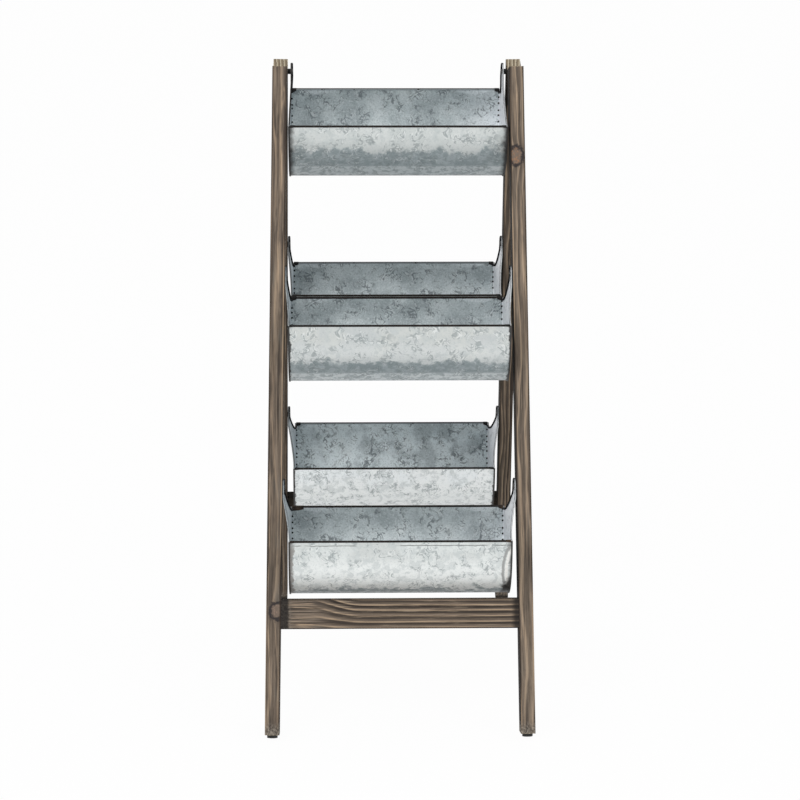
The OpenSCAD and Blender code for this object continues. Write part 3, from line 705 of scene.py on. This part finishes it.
def fill_finish(shade, shader, tone, fine, rough, gloss, relief=(0.1, 0.4), metallic=0.0):
    """Fills a shader: the fine noise takes the roughness from the first to the second value of rough."""
    shade.fill(
        shader.inputs, Base_Color=tone, Roughness=shade.step(fine, 0.3, 0.7, *rough), Metallic=metallic,
        Specular_IOR_Level=gloss, Normal=shade.bump(fine, *relief))


def speckled(name, colour, other, spots_mm, rough, metallic=0.0, bump_mm=0.1, gloss=0.5):
    """Painted, moulded or rusted finish in two tones, with spots about the given size."""
    material, shade, shader = new_material(name)
    where = object_space(shade)
    patches = shade.noise(where, 1 / (spots_mm * MM), *PATCH_NOISE)
    fine = shade.noise(where, 6 / (spots_mm * MM), *FINE_NOISE)
    tone = shade.mix(shade.step(patches, 0.35, 0.7), colour, other)
    fill_finish(shade, shader, tone, fine, (rough - 0.08, rough + 0.1), gloss, (bump_mm, 0.4), metallic)
    return material


RIM_DARK, RIM_RUST = (0.010, 0.008, 0.007), (0.024, 0.019, 0.016)
RIM_ZINC_SHINE = (0.330, 0.370, 0.380)
ROLL_DARK, ROLL_WORN = (0.004, 0.004, 0.005), (0.085, 0.092, 0.100)


def rim_material(name, axes, bare_and_shine):
    """Rusted rim rods. Low on the back rod a paler tone shows, partly zinc and partly a painted highlight,
    as much as the last argument says.
    """
    material, shade, shader = new_material(name)
    where = own_space(shade, axes)
    _, y, z = shade.split(where)
    patches = shade.noise(where, 0.16, *PATCH_NOISE)
    fine = shade.noise(where, 1.0, *FINE_NOISE)
    under = shade.step(z, -RIM_DROP + 1.1, -RIM_DROP + 0.5)
    tone = shade.layered(
        RIM_DARK, (RIM_RUST, shade.step(patches, 0.35, 0.7)),
        (RIM_ZINC_SHINE, under, shade.step(y, 0.0, 5.0), shade.step(patches, 0.70, 0.60), bare_and_shine))
    fill_finish(shade, shader, tone, fine, (0.54, 0.72), gloss=0.2)
    return material


def roll_material(name, axes, rubbed_left):
    """The turned edge of an ear: black at the back and over the tip, rubbed down to zinc at the front."""
    material, shade, shader = new_material(name)
    where = own_space(shade, axes)
    fine = shade.noise(where, 0.8, *FINE_NOISE)
    x, y, _ = shade.split(where)
    rubbed = shade.step(shade.roughened(y, fine, 8.0), 1.0, -6.0)
    rubbed = shade.times(rubbed, shade.step(x, -1.0, 1.0, rubbed_left, 1.0))
    tone = shade.mix(rubbed, ROLL_DARK, ROLL_WORN)
    fill_finish(shade, shader, tone, fine, (0.60, 0.78), gloss=0.1, relief=(0.1, 0.3))
    return material


PINE = make_pine_group()
FLECKS = make_fleck_group()
PAN_WEAR_AND_LIGHT = make_pan_group()
END_WEAR_AND_LIGHT = make_end_group()

# Small finishes: two tones, the size of the spots in millimetres, and roughness
FOLD_BROWN = speckled("fold_brown", (0.014, 0.011, 0.009), (0.070, 0.048, 0.034), 6, 0.66, gloss=0.2)
FOLD_BLACK = speckled("fold_black", (0.005, 0.005, 0.005), (0.022, 0.020, 0.019), 5, 0.66, gloss=0.2)
WELD_BLACK = speckled("weld_black", (0.004, 0.004, 0.005), (0.010, 0.010, 0.012), 2, 0.75, gloss=0.1)
# The hinge leaves' black partly stands for the shade in the gap between the legs at the apex
HINGE_BLACK = speckled("hinge_black", (0.010, 0.010, 0.010), (0.026, 0.023, 0.020), 5, 0.50)
MOULDED_BLACK = speckled("moulded_black", (0.008, 0.008, 0.008), (0.018, 0.018, 0.018), 3, 0.60)
SCREW_STEEL = speckled(
    "screw_steel", (0.120, 0.115, 0.110), (0.050, 0.046, 0.042), 2.5, 0.42, metallic=1.0, bump_mm=0.05)


# Setting: sizes in metres, shares of the white glow, and lamps with their power in watts. The floor gives
# metal less glow close to the object than further off.
WHITE = (1, 1, 1)
FLOOR_SIZE = 24
FLOOR_GREY = (0.9, 0.9, 0.9)
FLOOR_ROUGH = 0.9
GLOW_BY_CAMERA = 0.965
GLOW_REACH, GLOW_SHARE = (0.25, 1.2), (0.55, 0.95)
SKY_LEVEL = 0.68
LAMP_AIM = (0, 0, 0.5)
LAMPS = {
    "key_softbox": dict(place=(-1.6, -2.6, 2.9), size=(1.8, 1.4), power=38),
    "fill_softbox": dict(place=(2.2, -2.0, 2.0), size=(1.4, 1.6), power=16),
}


def seen_by(shade):
    """Whether a ray comes straight from the camera, and whether it comes off or through the object."""
    path = shade.add("ShaderNodeLightPath").outputs
    return path["Is Camera Ray"], shade.math("MAXIMUM", path["Is Glossy Ray"], path["Is Transmission Ray"])


def make_floor():
    bpy.ops.mesh.primitive_plane_add(size=FLOOR_SIZE, location=(0, 0, 0))
    floor = bpy.context.object
    floor.name = "floor"
    material, shade, shader = new_material("pale_floor")
    shade.fill(shader.inputs, Base_Color=FLOOR_GREY, Roughness=FLOOR_ROUGH)
    glow = shade.add("ShaderNodeEmission", Color=WHITE, Strength=1.0)
    by_camera, by_metal = seen_by(shade)
    x, y, _ = shade.split(object_space(shade))
    away = shade.step(shade.length(x, y), *GLOW_REACH, *GLOW_SHARE)
    share = shade.plus(shade.times(by_camera, GLOW_BY_CAMERA), shade.times(by_metal, away))
    blend = shade.add("ShaderNodeMixShader", Fac=share)
    shade.put(blend.inputs[1], shader.outputs[0])
    shade.put(blend.inputs[2], glow.outputs[0])
    shade.fill(shade.nodes["Material Output"].inputs, Surface=blend.outputs[0])
    floor.data.materials.append(material)


def make_world():
    world = bpy.data.worlds.new("studio")
    bpy.context.scene.world = world
    world.use_nodes = True
    shade = Shade(world.node_tree)
    shade.nodes.clear()
    seen = shade.math("MAXIMUM", *seen_by(shade))
    level = shade.step(seen, 0.0, 1.0, SKY_LEVEL, 1.0)
    back = shade.add("ShaderNodeBackground", Color=WHITE, Strength=level)
    shade.add("ShaderNodeOutputWorld", Surface=back.outputs[0])


def add_lamp(name, place, size, power):
    lamp = bpy.data.objects.new(name, bpy.data.lights.new(name, "AREA"))
    bpy.context.scene.collection.objects.link(lamp)
    lamp.data.shape = "RECTANGLE"
    lamp.data.size, lamp.data.size_y = size
    lamp.data.energy = power
    lamp.location = place
    lamp.rotation_euler = (Vector(LAMP_AIM) - Vector(place)).to_track_quat("-Z", "Y").to_euler()


# Pieces added to the frame

SHARP_ANGLE = math.radians(35)


def trough_axes(tier):
    """A trough's own axes about its pivot, as a matrix that takes millimetres to the frame's metres."""
    low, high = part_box(tier + "_pivot_screws")
    pivot = (Vector(low) + Vector(high)) / 2
    pivot.x = 0
    dip = Matrix.Rotation(math.radians(TROUGHS[tier]["dip"]), 4, "X")
    return Matrix.Translation(pivot) @ dip @ Matrix.Scale(MM, 4)


def finish_piece(tier, kind, bm, material):
    """Places a piece drawn in a trough's own axes, and lets it ride on that trough."""
    name, body = tier + kind, tier + "_trough"
    bmesh.ops.transform(bm, matrix=trough_axes(tier), verts=bm.verts)
    bmesh.ops.recalc_face_normals(bm, faces=bm.faces)
    mesh = bpy.data.meshes.new(name)
    bm.to_mesh(mesh)
    bm.free()
    mesh.materials.append(material)
    for face in mesh.polygons:
        face.use_smooth = True
    mesh.set_sharp_from_angle(angle=SHARP_ANGLE)
    piece = bpy.data.objects.new(name, mesh)
    bpy.context.scene.collection.objects.link(piece)
    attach(piece, body)


# Weld spots, in millimetres, and as shares of their radius, crown or pitch
WELD_R = 1.8
WELD_PITCH = 9.4
WELD_INBOARD = 2.0
WELD_CROWN = 0.25
WELD_SIDES = 10
WELD_TOP, WELD_LIP, WELD_PIT = 0.8, 0.3, 0.8
WELD_STRAY = 0.22


def weld_spot(bm, at):
    """A spot weld, dark from the heat: a low ring with a pit in the middle, standing on the sheet."""
    made = bmesh.ops.create_cone(
        bm, cap_ends=True, segments=WELD_SIDES, radius1=WELD_R, radius2=WELD_R * WELD_TOP,
        depth=2 * WELD_CROWN, matrix=at)
    inward = at.to_3x3() @ Vector((0, 0, 1))
    faces = {face for vert in made["verts"] for face in vert.link_faces}
    crown = max(faces, key=lambda face: face.calc_center_median().dot(inward))
    bmesh.ops.inset_region(bm, faces=[crown], thickness=WELD_R * WELD_LIP)
    bmesh.ops.translate(bm, vec=-WELD_PIT * WELD_CROWN * inward, verts=crown.verts)


def add_weld_spots(tier):
    """The rows of spots that hold the end plates' flanges, up both walls and round the bottom."""
    chance = random.Random(tier)
    inner_r = PAN_R - SHEET
    straight = PAN_CENTRE - RIM_DROP
    path = 2 * straight + math.pi * inner_r
    count = round(path / WELD_PITCH)
    bm = bmesh.new()
    for hand in (-1, 1):
        for i in range(count):
            along = (i + 0.5 + chance.uniform(-WELD_STRAY, WELD_STRAY)) * path / count
            turn = min(max((along - straight) / inner_r, 0), math.pi)
            height = -PAN_CENTRE
            if along < straight:
                height += straight - along
            elif along > path - straight:
                height += along - path + straight
            spot = Matrix.Translation((hand * (PLATE_X - WELD_INBOARD), 0, height))
            spot = spot @ Matrix.Rotation(turn, 4, "X") @ Matrix.Translation((0, -inner_r, 0))
            weld_spot(bm, spot @ Matrix.Rotation(-math.pi / 2, 4, "X"))
    finish_piece(tier, "_weld_spots", bm, WELD_BLACK)


# Folded corners of the sheet, in millimetres
WRAP_LENGTH = 7.5
LONG_WRAP, LONG_WRAP_HANG = 18, 2.0
WRAP_TAPER = 0.45
WRAP_STEPS, WRAP_ROUND = 4, 8
WRAP_GAP = 0.35
WRAP_SHEET = 0.4
WRAP_INSIDE = 4.2
WRAP_OUTSIDE = 1.6


def corner_wrap(bm, side, hand):
    """The corner of the sheet at a trough's end, folded over the rim rod from inside to outside.
    Returns its inner corner."""
    rod_y = side * (PAN_R - SHEET / 2)
    reach = RIM_R + WRAP_GAP
    start_x = hand * (HALF_TROUGH - SEAM_W)
    inside = bm.verts.new((start_x, rod_y - side * reach, -RIM_DROP - WRAP_INSIDE))
    foot = bm.verts.new((start_x, rod_y - side * reach, -RIM_DROP))
    bm.edges.new((inside, foot))
    over = bmesh.ops.spin(
        bm, geom=[foot], cent=(start_x, rod_y, -RIM_DROP), axis=(-side, 0, 0), angle=math.pi,
        steps=WRAP_ROUND, dvec=(0, 0, 0))
    last = [item for item in over["geom_last"] if isinstance(item, bmesh.types.BMVert)]
    outside = bmesh.ops.extrude_vert_indiv(bm, verts=last)["verts"]
    bmesh.ops.translate(bm, vec=(0, 0, -WRAP_OUTSIDE), verts=outside)
    return inside


def wrap_piece(side, hand, length, extra_hang):
    """A folded corner drawn out along the rim, and drawn up towards its far end."""
    bm = bmesh.new()
    corner_wrap(bm, side, hand).co.z -= extra_hang
    edges = list(bm.edges)
    for _ in range(WRAP_STEPS):
        grown = bmesh.ops.extrude_edge_only(bm, edges=edges)["geom"]
        verts = [item for item in grown if isinstance(item, bmesh.types.BMVert)]
        edges = [item for item in grown if isinstance(item, bmesh.types.BMEdge)]
        bmesh.ops.translate(bm, vec=(-hand * length / WRAP_STEPS, 0, 0), verts=verts)
    for vert in bm.verts:
        gone = abs(abs(vert.co.x) - HALF_TROUGH + SEAM_W) / length
        hang = max(-RIM_DROP - vert.co.z, 0)
        vert.co.z += hang * WRAP_TAPER * gone ** 2
    bmesh.ops.recalc_face_normals(bm, faces=bm.faces)
    bmesh.ops.solidify(bm, geom=list(bm.faces), thickness=WRAP_SHEET)
    return bm


def add_corner_wraps(tier):
    whole = bmesh.new()
    for side in (-1, 1):
        for hand in (-1, 1):
            long_one = (tier, side, hand) == (KNOCKED_TROUGH, 1, -1)
            length, hang = (LONG_WRAP, LONG_WRAP_HANG) if long_one else (WRAP_LENGTH, 0)
            part = wrap_piece(side, hand, length, hang)
            mesh = bpy.data.meshes.new("wrap")
            part.to_mesh(mesh)
            part.free()
            whole.from_mesh(mesh)
            bpy.data.meshes.remove(mesh)
    folded = FOLD_BROWN if tier == KNOCKED_TROUGH else FOLD_BLACK
    finish_piece(tier, "_corner_wraps", whole, folded)


# Turned edges of the ears, in millimetres
FRONT_ROLL_R, BACK_ROLL_R = 1.0, 1.5
FRONT_ROLL_INWARD, BACK_ROLL_INWARD = 0.45, 1.3
ROLL_INSET = 1.1
ROLL_FOOT = 80
ROLL_SIDES = 8
TURN_FROM, TURN_OVER = -8, 10
FLARE_STEPS, TIP_STEPS = 18, 16


def arc(centre_y, centre_z, radius, start, end, steps):
    """Points of an arc in the plane of an ear, angles in degrees from the back of the trough."""
    angles = [math.radians(start + (end - start) * i / steps) for i in range(steps + 1)]
    return [(centre_y + radius * math.cos(angle), centre_z + radius * math.sin(angle)) for angle in angles]


def ear_edge(hand, pad_x):
    """The line round an ear on the bent sheet, from its front foot over the tip to its back foot, with the
    roll's radius: the edge is turned in further at the back."""
    swept = FLARE_R + ROLL_INSET
    touch = math.degrees(math.atan2(FLARE_Z, FLARE_Y))
    low = math.degrees(math.acos((FLARE_Y - ROLL_FOOT) / swept))
    front = arc(-FLARE_Y, FLARE_Z, swept, -low, -touch, FLARE_STEPS)
    tip = arc(0, 0, EAR_R - ROLL_INSET, 180 + touch, -touch, TIP_STEPS)
    back = arc(FLARE_Y, FLARE_Z, swept, 180 + touch, 180 + low, FLARE_STEPS)
    line = []
    for y, z in front + tip[1:-1] + back:
        lean = min(max((z + RIM_DROP) / (BEND_TOP + RIM_DROP), 0), 1)
        turned = min(max((y - TURN_FROM) / TURN_OVER, 0), 1)
        inward = FRONT_ROLL_INWARD + (BACK_ROLL_INWARD - FRONT_ROLL_INWARD) * turned
        radius = FRONT_ROLL_R + (BACK_ROLL_R - FRONT_ROLL_R) * turned
        outward = PLATE_X + (pad_x - PLATE_X) * lean - SHEET / 2 - inward
        line.append((Vector((hand * outward, y, z)), radius))
    return line


def sweep_roll(bm, line):
    """A round roll along a line of places and radii, closed at both ends."""
    last = None
    for i, (point, radius) in enumerate(line):
        ahead = (line[min(i + 1, len(line) - 1)][0] - line[max(i - 1, 0)][0]).normalized()
        side = Vector((1, 0, 0))
        side = (side - side.dot(ahead) * ahead).normalized()
        turn = Matrix((side, ahead.cross(side), ahead)).transposed().to_4x4()
        closed = i in (0, len(line) - 1)
        at = Matrix.Translation(point) @ turn
        ring = bmesh.ops.create_circle(bm, cap_ends=closed, segments=ROLL_SIDES, radius=radius, matrix=at)
        edges = list({edge for vert in ring["verts"] for edge in vert.link_edges})
        if last:
            bmesh.ops.bridge_loops(bm, edges=last + edges)
        last = edges


def add_ear_rolls(tier, material):
    bm = bmesh.new()
    for hand in (-1, 1):
        sweep_roll(bm, ear_edge(hand, TROUGHS[tier]["pad_x"]))
    finish_piece(tier, "_ear_rolls", bm, material)


# Looks of the frame's own nodes

def give(node, material):
    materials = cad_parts[node].data.materials
    materials.clear()
    materials.append(material)


def frame_axes(side):
    """Side is -1 for the front frame and 1 for the back one."""
    return Matrix.Translation((0, side * HALF_GAP * MM, APEX_Z)) @ Matrix.Rotation(side * LEAN, 4, "X")


def leg_axes(side, hand):
    """A leg's own axes about its middle; hand is -1 for the left leg."""
    corner = frame_axes(side) @ Matrix.Translation((hand * TOP_GAP / 2 * MM, 0, 0))
    corner = corner @ Matrix.Rotation(-hand * SPLAY, 4, "Y")
    return corner @ Matrix.Translation(Vector((hand * LEG_W, side * LEG_DEPTH, -LEG_LENGTH)) * MM / 2)


def bar_axes(side):
    """A crossbar's own axes about its middle: its X points down and its Z to the right."""
    out = LEG_DEPTH - BAR_SETBACK - BAR_THICK / 2
    middle = frame_axes(side) @ Matrix.Translation(Vector((0, side * out, -BAR_DOWN)) * MM)
    return middle @ Matrix.Rotation(math.pi / 2, 4, "Y")


# Inner_Dark darkens a leg's inner side, partly stain and partly painted shade, most on the right legs
LEG_LOOKS = {
    "front_leg_left": dict(
        Pith_X=-34.0, Pith_Y=30.0, Ring=9.0, Stripes=0.42, Seed=3.1,
        Knot=(5.2, 0.0, -318.0), Knot_Size=9.6, Inner_Dark=0.62),
    "front_leg_right": dict(
        Pith_X=38.0, Pith_Y=26.0, Ring=8.0, Stripes=0.62, Seed=8.7,
        Knot=(-3.2, 0.0, 369.0), Knot_Size=10.5, Heart=(0.42, 0.20, 0.09), Inner_Dark=0.97, Pale=0.10),
    "back_leg_left": dict(
        Pith_X=-38.0, Pith_Y=-16.0, Ring=6.0, Stripes=0.7, Seed=12.4,
        Inner_Dark=0.6, Darkness=0.25, Stain_Low=7.0),
    "back_leg_right": dict(
        Pith_X=36.0, Pith_Y=-20.0, Ring=6.5, Stripes=0.8, Seed=17.9,
        Inner_Dark=0.9, Darkness=0.20, Stain_Low=7.0),
}

# The back crossbar's Darkness is painted shade, as it sits under the low back trough
BAR_LOOKS = {
    "front_crossbar": dict(
        Pith_X=92.0, Pith_Y=0.0, Ring=8.2, Stripes=0.95, Stripes_From=-142.0, Fan=17.0, Seed=23.3),
    "back_crossbar": dict(
        Pith_X=-60.0, Pith_Y=-20.0, Ring=7.4, Stripes=0.9, Seed=29.8, Darkness=0.6),
}
BAR_WOOD = dict(Stain_Low=12.5, Stain_High=9.0, Wander=BAR_WANDER)

# The crossbars' end grain is hidden against the legs, so it is put past their ends
BAR_END_PAST = 1

# Each trough and its ends take their flecks from another place
SEED_STEP, END_SEED = 1.7, 0.9


def dress_legs():
    for name, looks in LEG_LOOKS.items():
        side = -1 if name.startswith("front") else 1
        hand = -1 if name.endswith("left") else 1
        axes = leg_axes(side, hand)
        size = dict(Half_X=LEG_W / 2, Half_Y=LEG_DEPTH / 2, Half_Z=LEG_LENGTH / 2)
        give(name, pine_material("pine_" + name, axes, Inner_Side=-hand, **size, **looks))


def dress_crossbars():
    half_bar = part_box("front_crossbar")[1][0] / MM
    for name, looks in BAR_LOOKS.items():
        axes = bar_axes(-1 if name.startswith("front") else 1)
        size = dict(Half_X=BAR_HEIGHT / 2, Half_Y=BAR_THICK / 2, Half_Z=half_bar + BAR_END_PAST)
        give(name, pine_material("pine_" + name, axes, **size, **BAR_WOOD, **looks))


def drop_at(angle, dip):
    """How far below the rim, in millimetres, the outside faces the given angle under the horizontal."""
    return PAN_CENTRE - RIM_DROP + PAN_R * math.sin(math.radians(angle - dip))


def dress_trough(number, tier):
    looks = TROUGHS[tier]
    axes = trough_axes(tier)
    seed = SEED_STEP * number
    dent = 1.0 if tier == KNOCKED_TROUGH else 0.0
    bands = {label: drop_at(looks[label.lower()], looks["dip"]) for label in BANDS}
    toning = {label: looks[label.lower()] for label in WEAR_AND_LIGHT}
    pan = zinc_material(tier + "_zinc", PAN_WEAR_AND_LIGHT, axes, seed, Dent=dent, **bands, **toning)
    bent = dict(Pad_X=looks["pad_x"], Rubbed_Left=looks["rubbed_left"])
    ends = zinc_material(tier + "_end_zinc", END_WEAR_AND_LIGHT, axes, END_SEED + seed, **bent)
    give(tier + "_trough_pan", pan)
    give(tier + "_trough_end_left", ends)
    give(tier + "_trough_end_right", ends)
    give(tier + "_trough_rims", rim_material(tier + "_rim_rust", axes, looks["bare_and_shine"]))
    give(tier + "_pivot_screws", SCREW_STEEL)
    give("top_spacers" if tier == "top" else tier + "_washers", MOULDED_BLACK)
    add_weld_spots(tier)
    add_corner_wraps(tier)
    add_ear_rolls(tier, roll_material(tier + "_roll", axes, looks["rubbed_left"]))


def dress_fittings():
    for side in ("front", "back"):
        give(side + "_hinge_leaves", HINGE_BLACK)
        give(side + "_hinge_screws", SCREW_STEEL)
        give(side + "_crossbar_screws", SCREW_STEEL)
        give(side + "_foot_glides", MOULDED_BLACK)
    give("hinge_pins", SCREW_STEEL)


place_camera()
make_world()
make_floor()
for lamp, values in LAMPS.items():
    add_lamp(lamp, **values)
dress_legs()
dress_crossbars()
for number, tier in enumerate(TROUGHS):
    dress_trough(number, tier)
dress_fittings()

bpy.context.scene.view_settings.view_transform = "Standard"
